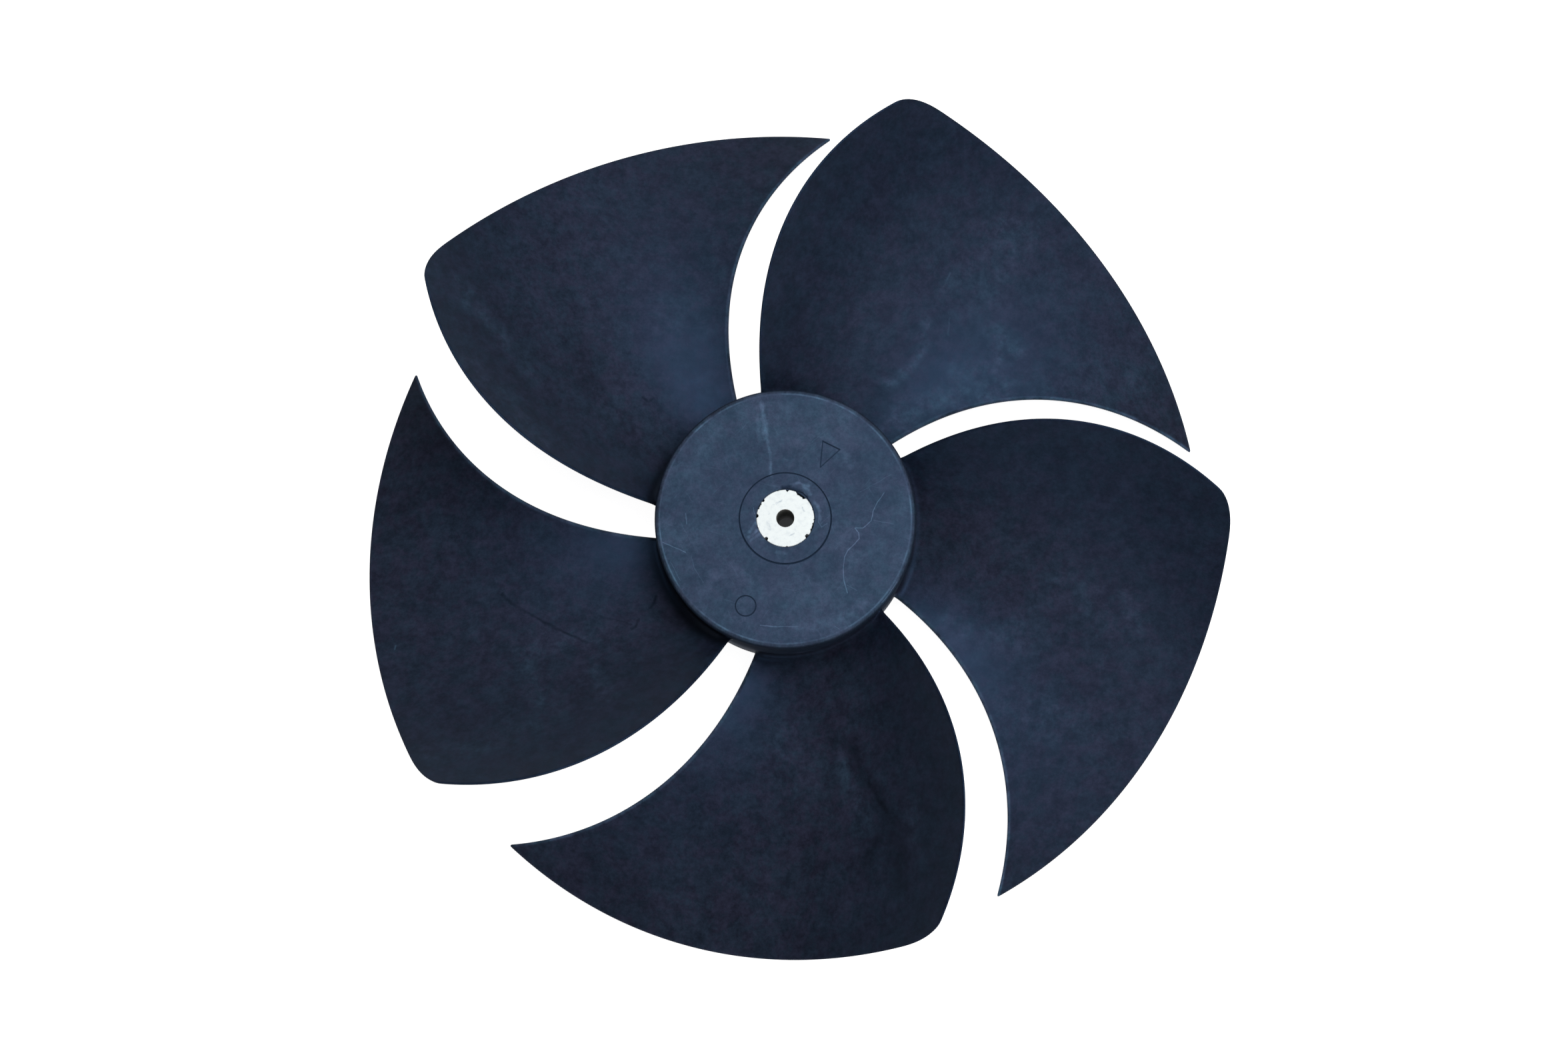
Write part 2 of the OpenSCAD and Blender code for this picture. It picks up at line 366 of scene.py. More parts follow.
hub_deep = (0.0225, 0.0312, 0.0520)
hub_worn = (0.085, 0.135, 0.215)
gloss_tint = (0.23, 0.45, 0.87)
hub_plastic, tree, shader, point = finish("hub_plastic", tint=gloss_tint, ior=1.42)
flat = vector_math(tree, "MULTIPLY", point, (1, 1, 0))
place_on_face = node(tree, "ShaderNodeSeparateXYZ", Vector=point)
on_face = out(place_on_face, "Z").ramp(face_z - 1.2 * mm, face_z - 0.7 * mm)
radius = vector_math(tree, "LENGTH", flat, output="Value")
# scratches, as points in millimetres on the face
wavy = [(44.8, 11.8), (42.1, 7.7), (39.8, 3.2), (39.1, -0.9), (35.3, -4.5), (31.6, -4.5), (33.3, -6.8),
        (33.5, -9.5), (31.6, -11.8), (28.5, -14.5), (26.9, -17.7), (26.4, -21.4), (26.6, -28.6),
        (28.2, -34.1)]
fine_lines = scratches(tree, wobbled(tree, flat, 4 * mm, 0.4 * mm), [
    (0.32, 0.85, wavy),
    (0.25, 0.35, [(39.8, -0.9), (44.5, -1.8), (49.0, -2.7)]),
    (0.28, 0.75, [(-55.6, -10.9), (-50.5, -13.2), (-45.2, -15.5)]),
    (0.40, 0.6, [(-11.0, -48.8), (-5.5, -49.4), (6.2, -49.4)]),
    (0.30, 0.6, [(14.6, 5.6), (15.4, 1.5), (15.1, -2.0), (16.5, -4.0), (18.7, -2.6)]),
    (0.30, 0.7, [(-14.5, 4.9), (-13.9, 1.9)]),
    (0.45, 0.6, [(-45.3, 2.2), (-44.6, -2.6)]),
    (0.25, 0.5, [(50.6, -29.0), (47.0, -34.6), (43.6, -38.6)]),
    (0.25, 0.4, [(-52.0, -20.0), (-47.6, -28.4)]),
    (0.25, 0.4, [(28.0, -30.6), (32.5, -33.0)]),
    (0.25, 0.35, [(-42.5, -17.5), (-41.0, -23.0), (-37.0, -29.5)]),
    (0.22, 0.35, [(18.0, 40.0), (12.0, 35.0)]),
    (0.22, 0.30, [(34.0, 12.0), (48.0, 20.0)]),
    (0.25, 0.45, [(22.0, -49.0), (24.6, -50.6)]),
])
scuffs = scratches(tree, wobbled(tree, flat, 6 * mm, 1.6 * mm), [
    (2.0, 0.75, [(-10.6, 52.0), (-9.6, 42.0), (-9.0, 37.0)]),
    (1.2, 0.70, [(-8.6, 38.0), (-7.0, 30.0), (-6.6, 20.0)]),
    (1.6, 0.35, [(-13.0, 47.0), (-11.8, 36.0)]),
    (1.2, 0.70, [(2.8, 15.6), (6.0, 16.6), (10.4, 15.2)]),
    (1.4, 0.65, [(8.6, 15.4), (11.4, 11.4)]),
    (1.4, 0.85, [(-13.3, -2.4), (-16.4, -5.9)]),
    (1.5, 0.85, [(-12.8, -5.6), (-16.6, -8.6)]),
    (1.3, 0.65, [(-11.5, -7.4), (-15.6, -9.8)]),
    (1.4, 0.65, [(13.4, 7.4), (15.6, 3.4), (15.8, -0.5)]),
    (1.2, 0.45, [(-4.2, -15.6), (-0.4, -15.8)]),
    (4.0, 0.22, [(16.0, 42.0), (30.0, 24.0)]),
    (4.0, 0.18, [(-20.0, -24.0), (-10.0, -36.0)]),
    (3.5, 0.25, [(4.0, -50.0), (22.0, -48.0), (36.0, -38.0)]),
    (5.0, 0.20, [(30.0, -20.0), (44.0, -12.0)]),
    (6.0, 0.16, [(-30.0, 40.0), (-38.0, 30.0)]),
])
broken = noise(tree, point, 0.0018, 3).ramp(0.3, 0.6)
hazy = noise(tree, point, 0.0032, 5, 0.65).ramp(0.30, 0.70)
# hairlines from handling, in three directions
curved = wobbled(tree, point, 15 * mm, 1.5 * mm)
hairlines = None
for turn in (0.5, 1.35, -0.75):
    lines = noise(tree, curved, 0.0010, 3, 0.6, (1, 22, 1), turn).ramp(0.62, 0.74)
    hairlines = lines if hairlines is None else hairlines.at_least(lines)
# a lighter line round the face where its edge starts to round off
rim_line = radius.ramp(56.7 * mm, 57.1 * mm) * radius.ramp(57.3 * mm, 57.9 * mm, 1.0, 0.0)
scratched = (fine_lines * (broken * 0.4 + 0.8)).at_least(scuffs * (hazy * 0.9 + 0.2))
wear = scratched.at_least(hairlines * 0.22) * on_face
wear = wear.at_least(rim_line * noise(tree, point, 0.012, 3).ramp(0.4, 0.65, 0.1, 0.6))
# painted shade darkens the witness ring, widest on the lower side, the edges of the sunk marks and the
# crevice by the bush
low_side = out(place_on_face, "Y").ramp(-20 * mm, 20 * mm, 0.46 * mm, 0.30 * mm)
in_ring = ((radius - ring_radius).math("ABSOLUTE") / low_side).ramp(0.6, 1.2, 1.0, 0.0)
mark_gap = vector_math(tree, "DISTANCE", flat, (*mark_center, 0), output="Value") - mark_radius
in_mark = (mark_gap.math("ABSOLUTE") / (0.40 * mm)).ramp(0.4, 1.2, 0.85, 0.0)
base_side, left_side, right_side = triangle[:2], triangle[1:], (triangle[2], triangle[0])
in_triangle = scratches(tree, flat, [
    (0.62, 1.0, [(a / mm, b / mm) for a, b in base_side]),
    (0.50, 0.9, [(a / mm, b / mm) for a, b in left_side]),
    (0.50, 0.9, [(a / mm, b / mm) for a, b in right_side]),
])
in_crevice = scratches(tree, wobbled(tree, flat, 2 * mm, 0.5 * mm), [
    (1.7, 0.9, [(-1.2, 14.0), (2.0, 14.3)]),
    (1.5, 0.9, [(2.0, 13.8), (6.6, 12.3), (9.6, 9.6)]),
    (0.8, 0.7, [(9.6, 9.6), (12.4, 4.9), (13.4, -0.6)]),
])
# the outer wall below the rounded edge is painted dark as shade, and made rougher
outside = radius.ramp(58.3 * mm, 59.2 * mm)
in_marks = in_ring.at_least(in_mark).at_least(in_triangle).at_least(in_crevice)
hub_painted_shade = (in_marks * on_face).at_least(outside * 0.7)
looks = place(tree, plastic_tree, Point=point, Deep=(*hub_deep, 1), Worn=(*hub_worn, 1), Wear=wear,
              Dirt=hub_painted_shade, Bloom=0.30, Grain=0.3, Uneven=0.65, Tint_drift=1.2)
cover(tree, shader, looks, 0.06 + outside * 0.45)


def arc(center, radius, start, end, steps=8):
    """Points on an arc of a section, with angles in degrees."""
    turns = [math.radians(start + (end - start) * i / steps) for i in range(steps + 1)]
    return [(center[0] + radius * math.cos(t), center[1] + radius * math.sin(t)) for t in turns]


def turned(name, section, steps):
    """A closed section of radii and heights, turned round the axis."""
    made = bmesh.new()
    rows = [
        [made.verts.new((r * math.cos(t), r * math.sin(t), z)) for r, z in section]
        for t in (2 * math.pi * i / steps for i in range(steps))
    ]
    for row, following in zip(rows, rows[1:] + rows[:1]):
        for i in range(len(section)):
            j = (i + 1) % len(section)
            made.faces.new((row[i], following[i], following[j], row[j]))
    bmesh.ops.recalc_face_normals(made, faces=made.faces)
    mesh = bpy.data.meshes.new(name)
    made.to_mesh(mesh)
    made.free()
    return mesh


inner = hub_radius - wall - 0.5 * mm
back_z = face_z - hub_depth
under = face_z - front
fillet = 3 * mm
hub_section = (
    [(seat_radius, face_z - 0.25 * mm), (seat_radius + 0.25 * mm, face_z), (17 * mm, face_z)]
    + [(ring_radius - 0.28 * mm, face_z), (ring_radius - 0.2 * mm, face_z - ring_depth)]
    + [(ring_radius + 0.2 * mm, face_z - ring_depth), (ring_radius + 0.28 * mm, face_z)]
    + [(30 * mm, face_z), (40 * mm, face_z), (50 * mm, face_z)]
    + arc((hub_radius - hub_edge_round, face_z - hub_edge_round), hub_edge_round, 90, 2, 14)
    + [(hub_back_radius + 0.05 * mm, back_z + 0.6 * mm), (hub_back_radius - 0.5 * mm, back_z)]
    + [(hub_back_radius - wall + 0.5 * mm, back_z), (hub_back_radius - wall, back_z + 0.6 * mm)]
    + arc((inner - fillet, under - fillet), fillet, 0, 90)
    + arc((boss_radius + fillet, under - fillet), fillet, 90, 180)
    + [(boss_end_radius + 0.05 * mm, 0.5 * mm), (boss_end_radius - 0.5 * mm, 0)]
    + [(seat_radius, 0)]
)
hub_mesh = turned("hub", hub_section, 320)


def cutter(name, outline, low, high):
    """A prism for cutting, from an outline in metres."""
    made = bmesh.new()
    bottom = [made.verts.new((x, y, low)) for x, y in outline]
    top = [made.verts.new((x, y, high)) for x, y in outline]
    made.faces.new(bottom[::-1])
    made.faces.new(top)
    for i in range(len(outline)):
        j = (i + 1) % len(outline)
        made.faces.new((bottom[i], bottom[j], top[j], top[i]))
    bmesh.ops.recalc_face_normals(made, faces=made.faces)
    mesh = bpy.data.meshes.new(name)
    made.to_mesh(mesh)
    made.free()
    return mesh


def cut(mesh, cutters):
    """The mesh with the cutters taken out of it."""
    body = bpy.data.objects.new("body", mesh)
    bpy.context.collection.objects.link(body)
    tools = []
    for tool in cutters:
        other = bpy.data.objects.new("tool", tool)
        bpy.context.collection.objects.link(other)
        modifier = body.modifiers.new("cut", "BOOLEAN")
        modifier.object = other
        modifier.operation = "DIFFERENCE"
        modifier.solver = "EXACT"
        tools.append(other)
    bpy.context.view_layer.update()
    evaluated = body.evaluated_get(bpy.context.evaluated_depsgraph_get())
    result = bpy.data.meshes.new_from_object(evaluated)
    for other in tools + [body]:
        bpy.data.objects.remove(other)
    return result


mark_ring = turned("mark", [(4.45 * mm, face_z - mark_depth), (4.8 * mm, face_z - mark_depth),
                            (4.9 * mm, face_z + mm), (4.35 * mm, face_z + mm)], 48)
for vertex in mark_ring.vertices:
    vertex.co.x += mark_center[0]
    vertex.co.y += mark_center[1]
# the plastic has broken away from the bush on its upper right side: directions and reach from the bush
broken_edge = [(-18, 0.0), (-8, 0.16), (5, 0.2), (20, 0.22), (34, 0.3), (40, 0.5), (45, 0.9), (50, 0.75),
               (56, 1.0), (61, 0.7), (67, 0.35), (74, 0.3), (81, 0.45), (87, 0.75), (92, 0.45), (98, 0.3),
               (108, 0.0)]
crevice = []
for reach_share, edge_order in ((0, broken_edge), (1, broken_edge[::-1])):
    for degrees, reach in edge_order:
        r = seat_radius - 0.3 * mm + (reach + 0.35) * mm * reach_share
        crevice.append((r * math.cos(math.radians(degrees)), r * math.sin(math.radians(degrees))))
hub_mesh = cut(hub_mesh, [
    cutter("triangle", triangle, face_z - mark_depth, face_z + mm),
    cutter("crevice", crevice, face_z - 1.2 * mm, face_z + mm),
    mark_ring,
])
hub_mesh.shade_smooth()
hub_mesh.set_sharp_from_angle(angle=math.radians(32))
piece("hub", hub_mesh, hub_plastic, "fan_wheel")

# Ribs
# Ten thin webs of the same moulding behind the hub's front, from the boss to the wall. They carry
# the drive from the bush to the blades and are deepest at the boss.
rib_count = 10
rib_plastic, tree, shader, point = finish("rib_plastic", tint=gloss_tint, ior=1.42)
looks = place(tree, plastic_tree, Point=point, Deep=(*hub_deep, 1), Worn=(*hub_worn, 1), Bloom=0.15,
              Grain=0.4)
cover(tree, shader, looks)


def grown(name, tree, **values):
    """The plain mesh that a tree of geometry nodes makes, with its inputs set by name."""
    seed = bpy.data.objects.new(name, bpy.data.meshes.new(name))
    bpy.context.collection.objects.link(seed)
    modifier = seed.modifiers.new(name, "NODES")
    modifier.node_group = tree
    for item in tree.interface.items_tree:
        if item.item_type == "SOCKET" and item.in_out == "INPUT" and item.name.replace(" ", "_") in values:
            modifier[item.identifier] = values[item.name.replace(" ", "_")]
    bpy.context.view_layer.update()
    evaluated = seed.evaluated_get(bpy.context.evaluated_depsgraph_get())
    mesh = bpy.data.meshes.new_from_object(evaluated)
    bpy.data.objects.remove(seed)
    return mesh


def all_round(tree, geometry, count, material, output):
    """Repeats a shape round the axis, makes it real and gives it its material."""
    points = node(tree, "GeometryNodePoints", Count=count)
    turn = out(node(tree, "GeometryNodeInputIndex")) * (2 * math.pi) / count
    spin = node(tree, "ShaderNodeCombineXYZ", Z=turn)
    spread = node(tree, "GeometryNodeInstanceOnPoints", Points=out(points), Instance=geometry,
                  Rotation=out(spin))
    real = node(tree, "GeometryNodeRealizeInstances", Geometry=out(spread))
    painted = node(tree, "GeometryNodeSetMaterial", Geometry=out(real), Material=material)
    give(tree, output.inputs["Geometry"], out(painted))


rib_tree, rib, rib_out = group(
    "ribs",
    "GeometryNodeTree",
    [("Count", "Int", 10), ("Inner radius", "Float", 0.018), ("Outer radius", "Float", 0.0564),
     ("Top", "Float", 0.0256), ("Depth at boss", "Float", 0.0276), ("Depth at wall", "Float", 0.0126),
     ("Thickness", "Float", 0.0022), ("Draft", "Float", 0.0005), ("Material", "Material", None)],
    [("Geometry", "Geometry")],
)
block = node(rib_tree, "GeometryNodeMeshCube", Size=(1, 1, 1), Vertices_X=16, Vertices_Y=2, Vertices_Z=8)
corner = node(rib_tree, "ShaderNodeSeparateXYZ", Vector=out(node(rib_tree, "GeometryNodeInputPosition")))
out_share = out(corner, "X") + 0.5
down_share = 0.5 - out(corner, "Z")
depth = rib["Depth at boss"] + (rib["Depth at wall"] - rib["Depth at boss"]) * out_share
shaped = node(
    rib_tree,
    "ShaderNodeCombineXYZ",
    X=rib["Inner radius"] + (rib["Outer radius"] - rib["Inner radius"]) * out_share,
    Y=out(corner, "Y") * (rib["Thickness"] - rib["Draft"] * down_share),
    Z=rib["Top"] - depth * down_share,
)
moved = node(rib_tree, "GeometryNodeSetPosition", Geometry=out(block), Position=out(shaped))
all_round(rib_tree, out(moved), rib["Count"], rib["Material"], rib_out)
rib_mesh = grown("ribs", rib_tree, Count=rib_count, Material=rib_plastic)
piece("ribs", rib_mesh, rib_plastic, "fan_wheel")

# Blades
# Five wide swept blades, moulded with the hub. Each is a thin cambered sheet that is low at the
# rounded leading edge and high at the thin trailing edge, with a fillet where it leaves the hub.
blade_tree, blade, blade_out = group(
    "blades",
    "GeometryNodeTree",
    [("Count", "Int", 5), ("Hub radius", "Float", 0.0595), ("Hub back radius", "Float", 0.058),
     ("Hub depth", "Float", 0.058), ("Face height", "Float", 0.028), ("Tip radius", "Float", 0.2),
     ("Trailing angle hub", "Float", 28.8), ("Trailing angle middle", "Float", 18.4),
     ("Trailing angle tip", "Float", 1.2), ("Trailing height hub", "Float", -9.6),
     ("Trailing height middle", "Float", 26.4), ("Trailing height tip", "Float", 24.2),
     ("Leading angle hub", "Float", -32.2), ("Leading angle middle", "Float", -43.6),
     ("Leading angle tip", "Float", -61.3), ("Leading height hub", "Float", -38.8),
     ("Leading height middle", "Float", -41.5), ("Leading height tip", "Float", -71.6),
     ("Sag", "Float", 0.135), ("Thickness hub", "Float", 3.4), ("Thickness tip", "Float", 2.4),
     ("Thickness trailing", "Float", 1.4), ("Root fillet", "Float", 4.0), ("Tip fall", "Float", 4.3),
     ("Corner length", "Float", 7.0), ("Corner share", "Float", 0.07), ("Corner squareness", "Float", 2.7),
     ("Blunt length", "Float", 1.2), ("Blunt share", "Float", 0.008), ("Steps round", "Int", 169),
     ("Steps out", "Int", 97), ("Material", "Material", None)],
    [("Geometry", "Geometry")],
)
# from here on in millimetres: the stations of the edges lie at 60, 130 and 200 mm from the axis
hub_r = blade["Hub radius"] * 1000
hub_back_r = blade["Hub back radius"] * 1000
tip_r = blade["Tip radius"] * 1000
middle_station = 130
station_step = 70


def through(name, r):
    """A value that passes through three values given at the hub, in the middle and at the tip."""
    t = (r - middle_station) / station_step
    a, b, c = (blade[f"{name} {where}"] for where in ("hub", "middle", "tip"))
    return b + (c - a) / 2 * t + ((a + c) / 2 - b) * t * t


def line_height(r, v):
    """Height of the section's middle line above the hub face."""
    high, low = through("Trailing height", r), through("Leading height", r)
    chord = (through("Trailing angle", r) - through("Leading angle", r)) * r * (math.pi / 180)
    return high + (low - high) * v - 4 * blade["Sag"] * chord * v * (1 - v)


sheet = node(blade_tree, "GeometryNodeMeshGrid", Size_X=1, Size_Y=1, Vertices_X=blade["Steps round"],
             Vertices_Y=blade["Steps out"])
corner = node(blade_tree, "ShaderNodeSeparateXYZ", Vector=out(node(blade_tree, "GeometryNodeInputPosition")))
round_share = out(corner, "X") + 0.5
out_share = out(corner, "Y") + 0.5
turn = round_share * (2 * math.pi)
# share of the way from trailing to leading edge, and which face: 1 is the upper one
v = 0.5 - turn.math("COSINE") * 0.5
face = turn.math("SINE").math("SIGN")
# rows are close together at the fillet and at the tip; the first and the last row close the ends
last = blade["Steps out"] - 1
row = (out_share * last - 1).at_least(0).at_most(last - 2) / (last - 2)
q = row - (row * (2 * math.pi)).math("SINE") * (0.85 / (2 * math.pi))
# the wall of the hub draws in below its rounded edge
edge_round = 2.5
below_edge = (line_height(hub_r - 1, v) * -1 - edge_round).at_least(0)
root_r = hub_r - (hub_r - hub_back_r) * (below_edge / (blade["Hub depth"] * 1000 - edge_round))
corner_gap = (1 - v / blade["Corner share"]).at_least(0)
squareness = blade["Corner squareness"]
corner_round = (1 - corner_gap.power(squareness)).at_least(0).power(1 / squareness)
corner_loss = blade["Corner length"] * (1 - corner_round)
blunt_gap = ((v - 1 + blade["Blunt share"]) / blade["Blunt share"]).at_least(0)
blunt_loss = blade["Blunt length"] * (1 - (1 - blunt_gap * blunt_gap).root())
end_r = tip_r - blade["Tip fall"] * v - corner_loss - blunt_loss
# the sheet starts inside the wall
bite = 1.8
start_r = root_r - bite
r = start_r + (end_r - start_r) * q
# fillet to the wall, which runs out towards the edges
fillet_gap = (blade["Root fillet"] - (r - root_r)).at_least(0).at_most(blade["Root fillet"])
flare = blade["Root fillet"] - (blade["Root fillet"] * blade["Root fillet"] - fillet_gap * fillet_gap).root()
flare = flare * (0.1 + v.at_most(1 - v) * 12).at_most(1)
# half thickness, full from a little before the middle on
out_thinning = (blade["Thickness tip"] - blade["Thickness hub"]) * ((r - hub_r) / (tip_r - hub_r))
body_t = blade["Thickness hub"] + out_thinning
full_from = 0.45
rise = (v / full_from).at_most(1) * (math.pi / 2)
half = (blade["Thickness trailing"] + (body_t - blade["Thickness trailing"]) * rise.math("SINE")) / 2 + flare
# place along the section, with round noses
high, low = through("Trailing height", r), through("Leading height", r)
first, second = through("Trailing angle", r), through("Leading angle", r)
chord = (first - second) * r * (math.pi / 180)
from_trailing = v * (chord + flare * 2)
from_leading = (1 - v) * (chord + flare * 2)
lip = (half - from_trailing.at_most(from_leading)).at_least(0)
depth = (half * half - lip * lip).root()
tip_round = 0.5
tip_lip = (tip_round - (end_r - r)).at_least(0)
depth = (depth - tip_round + (tip_round * tip_round - tip_lip * tip_lip).root()).at_least(0)
closed = (out_share * last).ramp(0.2, 0.8) * (last - out_share * last).ramp(0.2, 0.8)
depth = depth * closed * face
v_in = (from_trailing - flare) / chord
slope_z = low - high - 4 * blade["Sag"] * chord * (1 - 2 * v_in)
length = (chord * chord + slope_z * slope_z).root()
height = high + (low - high) * v_in - 4 * blade["Sag"] * chord * v_in * (1 - v_in)
angle = (first + (second - first) * v_in) * (math.pi / 180) + depth * slope_z / length / r
made_point = node(
    blade_tree,
    "ShaderNodeCombineXYZ",
    X=r * angle.math("COSINE") * 0.001,
    Y=r * angle.math("SINE") * 0.001,
    Z=(height + depth * chord / length) * 0.001 + blade["Face height"],
)
# for the material: nearness to the leading edge, the share of the way to it, and the upper face
marked = out(sheet)
near_nose = from_leading.ramp(0.6, 2.2, 1.0, 0.0)
for label, value in (("nose", near_nose), ("chord", v), ("upper", face * 0.5 + 0.5)):
    marked = out(node(blade_tree, "GeometryNodeStoreNamedAttribute",
                      {"data_type": "FLOAT", "domain": "POINT"}, Geometry=marked, Name=label, Value=value))
moved = node(blade_tree, "GeometryNodeSetPosition", Geometry=marked, Position=out(made_point))
sewn = node(blade_tree, "GeometryNodeMergeByDistance", Geometry=out(moved), Distance=0.000002)
soft = node(blade_tree, "GeometryNodeSetShadeSmooth", Geometry=out(sewn))
all_round(blade_tree, out(soft), blade["Count"], blade["Material"], blade_out)

blade_deep = (0.0068, 0.0103, 0.0210)
blade_painted_sheen = (0.0157, 0.0190, 0.0340)
blade_worn_and_lit = (0.050, 0.085, 0.140)
blade_plastic, tree, shader, point = finish("blade_plastic", tint=gloss_tint, ior=1.42)
flat = vector_math(tree, "MULTIPLY", point, (1, 1, 0))
# chalky haze that also carries painted sheen and highlights, light streaks and dark marks, as points in
# millimetres seen from above
haze_and_sheen = scratches(tree, wobbled(tree, flat, 22 * mm, 9 * mm), [
    (13, 0.75, [(50, 50), (64, 58), (81, 63), (100, 66)]),
    (9, 0.55, [(81, 71), (95, 76)]),
    (9, 0.65, [(98, 95), (106, 84), (100, 82)]),
    (5, 0.55, [(46, 68), (57, 80), (67, 96)]),
    (6, 0.30, [(73, 113), (90, 123), (100, 142)]),
    (16, 0.25, [(88, 108), (100, 124), (109, 140)]),
    (10, 0.28, [(153, -37), (163, -49)]),
    (12, 0.30, [(77, -43), (90, -52), (108, -52)]),
    (14, 0.18, [(129, -28), (154, -43)]),
    (16, 0.18, [(99, -82), (130, -88)]),
    (8, 0.30, [(27, -108), (31, -120), (33, -137)]),
    (6, 0.16, [(58, -130), (60, -150)]),
    (14, 0.15, [(0, -95), (7, -120)]),
    (12, 0.22, [(-116, -55), (-85, -49)]),
    (8, 0.14, [(-160, -108), (-131, -100), (-108, -92)]),
    (9, 0.24, [(-119, -52), (-115, -70), (-104, -84)]),
    (8, 0.22, [(-88, -70), (-82, -80)]),
    (6, 0.20, [(-148, 106), (-135, 90), (-115, 66)]),
    (6, 0.17, [(-143, 68), (-125, 51), (-107, 33)]),
    (14, 0.20, [(-57, 99), (-38, 106)]),
    (22, 0.20, [(-38, 102), (-28, 130), (-10, 165)]),
    (24, 0.20, [(96, 64), (130, 68), (162, 74)]),
])
light_marks = scratches(tree, wobbled(tree, flat, 4 * mm, 0.6 * mm), [
    (0.9, 0.35, [(73, 113), (76, 119)]),
    (0.7, 0.30, [(76, 99), (75, 91)]),
    (0.6, 0.50, [(-181, -55), (-181, -57)]),
    (0.7, 0.40, [(-12, 65), (-12, 72)]),
])
dark_marks = scratches(tree, wobbled(tree, flat, 5 * mm, 1.2 * mm), [
    (1.6, 0.90, [(-132, -31), (-127, -36)]),
    (1.2, 0.80, [(-127, -36), (-118, -41), (-105, -48), (-91, -55)]),
    (1.2, 0.90, [(-60, -32), (-61, -35), (-63, -38)]),
    (1.2, 0.95, [(-68, -44), (-69, -47), (-71, -48)]),
    (0.8, 0.60, [(-86, -42), (-71, -46)]),
    (0.9, 0.90, [(-67, 60), (-64, 58), (-62, 60)]),
    (6.5, 0.65, [(30, -101), (35, -113), (41, -124), (48, -138), (51, -149), (53, -165)]),
    (4.0, 0.90, [(38, -119), (42, -126), (48, -137)]),
    (3.0, 0.45, [(44, -142), (39, -150), (33, -160)]),
    (9.0, 0.35, [(-93, 83), (-98, 69), (-86, 64)]),
])
drift = noise(tree, point, 0.007, 6, 0.7).ramp(0.32, 0.68)
nose = out(node(tree, "ShaderNodeAttribute", {"attribute_name": "nose"}), "Fac")
chord_share = out(node(tree, "ShaderNodeAttribute", {"attribute_name": "chord"}), "Fac")
# lighter across the middle of the chord than at its edges: a painted sheen
sheen_share = chord_share.ramp(0.02, 0.50) * chord_share.ramp(0.55, 1.0, 1.0, 0.70)
body = blend(tree, sheen_share, blade_deep, blade_painted_sheen)
# a painted highlight along the rounded leading edge, broken up by noise
painted_nose_highlight = nose * noise(tree, point, 0.016, 4).ramp(0.3, 0.6, 0.45, 1.0) * 0.85
# a painted shadow of the hub lies along its foot, widest and darkest on its lower left side
radius = vector_math(tree, "LENGTH", flat, output="Value")
toward = (math.cos(math.radians(205)), math.sin(math.radians(205)), 0)
shadow_side = (vector_math(tree, "DOT_PRODUCT", flat, toward, output="Value") / radius).ramp(0.0, 0.9)
reach = (radius - hub_radius) / (2.2 * mm + shadow_side * 5 * mm)
painted_hub_shadow = reach.ramp(0.4, 1.0, 1.0, 0.0) * (0.25 + shadow_side * 0.6)
on_upper = out(node(tree, "ShaderNodeAttribute", {"attribute_name": "upper"}), "Fac").ramp(0.4, 0.6)
light = (haze_and_sheen * drift * 0.8).at_least(light_marks * (drift * 0.5 + 0.5)) * on_upper
dark = dark_marks * (drift * 0.6 + 0.4) * on_upper
looks = place(tree, plastic_tree, Point=point, Deep=body, Worn=(*blade_worn_and_lit, 1),
              Wear=light.at_least(painted_nose_highlight), Dirt=dark.at_least(painted_hub_shadow), Bloom=0.07, Grain=0.3, Uneven=0.85,
              Tint_drift=2.5)
cover(tree, shader, looks)
blade_mesh = grown("blades", blade_tree, Material=blade_plastic)
made = bmesh.new()
made.from_mesh(blade_mesh)
bmesh.ops.recalc_face_normals(made, faces=made.faces)
made.to_mesh(blade_mesh)
made.free()
piece("blades", blade_mesh, blade_plastic, "fan_wheel")

# Bush
# The light metal bush that the wheel is moulded round. Its rim is notched so that it can't turn in
# the plastic, and its bore takes the motor's shaft.
bush_radius = 13.1 * mm
bush_length = 28 * mm
bore_radius = 4 * mm
bore_edge = 0.15 * mm
rim_edge = 0.2 * mm
deepest_notch = 1.4
# direction in degrees, width and depth in millimetres, and squareness, where 1 is a V
notches = [(86, 1.7, 0.95, 1), (56, 5.8, 0.95, 2.6), (48, 1.3, 0.45, 2), (63, 1.0, 0.3, 1.5),
           (141, 1.5, 0.7, 3), (154, 3.8, 0.35, 2), (150, 0.6, 0.25, 2), (160, 0.7, 0.3, 2),
           (175, 2.0, 0.85, 2.5), (227.3, 1.8, 1.1, 5), (273, 1.2, 0.3, 1.5), (320.7, 2.0, 1.1, 5),
           (342, 5.0, 0.4, 2.5), (336, 0.8, 0.3, 2), (349, 0.7, 0.3, 2), (357, 0.8, 0.3, 2),
           (18, 0.7, 0.15, 2), (105, 0.8, 0.15, 2), (200, 0.7, 0.12, 2), (300, 0.6, 0.12, 2)]
bush_metal, tree, shader, point = finish("bush_metal", roughness=0.5, metallic=0.2)
flat = vector_math(tree, "MULTIPLY", point, (1, 1, 0))
smudges = scratches(tree, wobbled(tree, flat, 2 * mm, 0.6 * mm), [
    (0.7, 0.8, [(-4.1, 6.9), (-1.6, 8.2)]),
    (0.7, 0.7, [(7.6, 4.9), (8.6, 3.4)]),
    (0.6, 0.7, [(2.0, -7.9), (4.0, -7.0)]),
    (1.4, 0.45, [(-7.9, -1.9), (-6.9, -5.0)]),
    (0.5, 0.5, [(-5.6, 6.0), (-5.2, 6.3)]),
    (0.4, 0.5, [(-7.6, 1.9), (-7.0, 2.1)]),
])
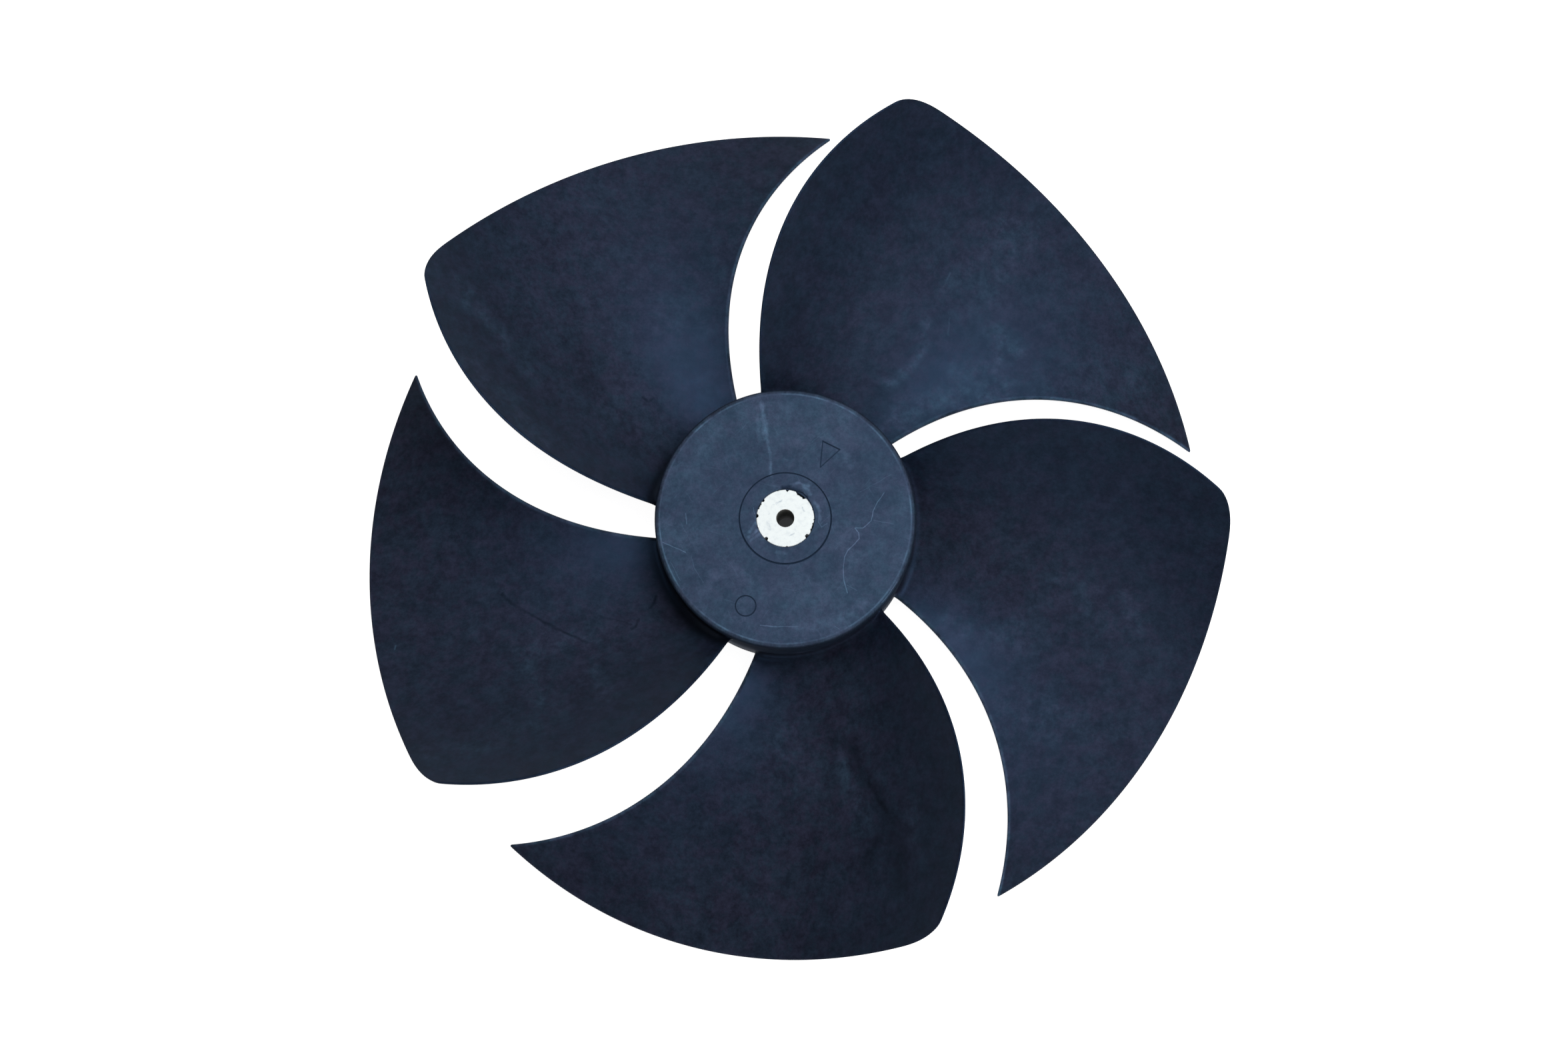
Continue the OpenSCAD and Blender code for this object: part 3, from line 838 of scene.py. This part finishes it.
fine = noise(tree, point, 0.0003, 2)
blotch = noise(tree, point, 0.0020, 4, 0.6).ramp(0.45, 0.75)
streaky = noise(tree, point, 0.0008, 3).ramp(0.25, 0.6)
shade = blend(tree, (smudges * streaky).at_least(blotch * 0.25), (0.79, 0.84, 0.84), (0.38, 0.45, 0.52))
# the bore's wall is painted dark, as shade inside it
radius = vector_math(tree, "LENGTH", flat, output="Value")
bore_painted_shade = radius.ramp(bore_radius + 0.05 * mm, bore_radius + 0.2 * mm, 1.0, 0.0)
shade = blend(tree, bore_painted_shade, shade, (0.22, 0.225, 0.21))
give(tree, shader.inputs["Base Color"], shade)
give(tree, shader.inputs["Roughness"], 0.42 + fine * 0.2)
bump = node(tree, "ShaderNodeBump", Height=fine, Strength=0.3, Distance=0.0001)
give(tree, shader.inputs["Normal"], out(bump))


def rim_radius(degrees):
    """Radius of the rim at a direction, less in a notch."""
    lost = 0.0
    for direction, width, notch_depth, squareness in notches:
        away = abs((degrees - direction + 180) % 360 - 180) * math.pi / 180 * bush_radius / (width / 2 * mm)
        if away < 1:
            lost += notch_depth * (1 - away ** squareness)
    return bush_radius - min(lost, deepest_notch) * mm


bush_steps = 720
rims = [rim_radius(i * 360 / bush_steps) for i in range(bush_steps)]
bush = bmesh.new()
rows = []
for i, rim in enumerate(rims):
    t = 2 * math.pi * i / bush_steps
    section = [(bore_radius, 0), (bore_radius, bush_length - bore_edge),
               (bore_radius + bore_edge, bush_length), (rim - rim_edge, bush_length),
               (rim, bush_length - rim_edge), (rim, 0)]
    rows.append([bush.verts.new((a * math.cos(t), a * math.sin(t), z)) for a, z in section])
for row, following in zip(rows, rows[1:] + rows[:1]):
    for i in range(len(row)):
        j = (i + 1) % len(row)
        bush.faces.new((row[i], following[i], following[j], row[j]))
bmesh.ops.recalc_face_normals(bush, faces=bush.faces)
bush_mesh = bpy.data.meshes.new("bush")
bush.to_mesh(bush_mesh)
bush.free()
bush_mesh.shade_smooth()
bush_mesh.set_sharp_from_angle(angle=math.radians(32))
piece("bush", bush_mesh, bush_metal, "shaft_bush")

# Floor and light
# The wheel lies on a plain pale table in the soft light of a window, a ceiling and walls, as small
# parts are photographed.
floor_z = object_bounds()[0][2]
floor_reach = 6
floor_corners = [(x * floor_reach, y * floor_reach, floor_z) for x, y in ((-1, -1), (1, -1), (1, 1), (-1, 1))]
floor_mesh = bpy.data.meshes.new("floor")
floor_mesh.from_pydata(floor_corners, [], [(0, 1, 2, 3)])
floor = bpy.data.objects.new("floor", floor_mesh)
bpy.context.collection.objects.link(floor)
floor_paint, tree, shader, point = finish("floor_paint", roughness=0.8)
shader.inputs["Base Color"].default_value = (0.58, 0.58, 0.58, 1)
shader.inputs["Emission Color"].default_value = (1, 1, 1, 1)
from_axis = vector_math(tree, "LENGTH", point, output="Value")
# most of the floor's glow is for the picture alone and isn't mirrored in the wheel
seen = out(node(tree, "ShaderNodeLightPath"), "Is Camera Ray")
# the glow is weakest near the axis: a painted shadow under the hub
glow_and_painted_shadow = from_axis.ramp(45 * mm, 72 * mm, 0.02, 1.0) * (seen * 0.62 + 0.3)
give(tree, shader.inputs["Emission Strength"], glow_and_painted_shadow)
floor_mesh.materials.append(floor_paint)

# the room is white in the picture and gives little light of its own
world = bpy.data.worlds.new("room")
world.use_nodes = True
walls = world.node_tree.nodes["Background"]
walls.inputs["Color"].default_value = (1.0, 0.93, 0.93, 1)
seen = out(node(world.node_tree, "ShaderNodeLightPath"), "Is Camera Ray")
give(world.node_tree, walls.inputs["Strength"], seen * 1.05 + 0.05)
bpy.context.scene.world = world
bpy.context.scene.view_settings.view_transform = "Standard"


def soft_light(name, position, size, power, colour=(1, 1, 1)):
    """A square lamp that faces the middle of the wheel."""
    lamp = bpy.data.lights.new(name, "AREA")
    lamp.shape = "SQUARE"
    lamp.size = size
    lamp.energy = power
    lamp.color = colour
    made = bpy.data.objects.new(name, lamp)
    bpy.context.collection.objects.link(made)
    made.location = position
    made.rotation_euler = (Vector((0, 0, 0)) - Vector(position)).to_track_quat("-Z", "Y").to_euler()
    return made


soft_light("window", (1.0, 0.57, 1.99), 1.2, 16, (0.96, 1.0, 1.02))
soft_light("ceiling", (0.35, 0.1, 2.25), 1.2, 19)
soft_light("side_wall", (1.35, -0.9, 1.6), 1.2, 8)
soft_light("far_wall", (0, 0.8, 1.3), 1.2, 4.5)
soft_light("far_low", (0, 2.03, 1.08), 1.2, 2)
soft_light("near_low", (0, -2.03, 1.08), 1.2, 9, (1.0, 0.93, 0.93))
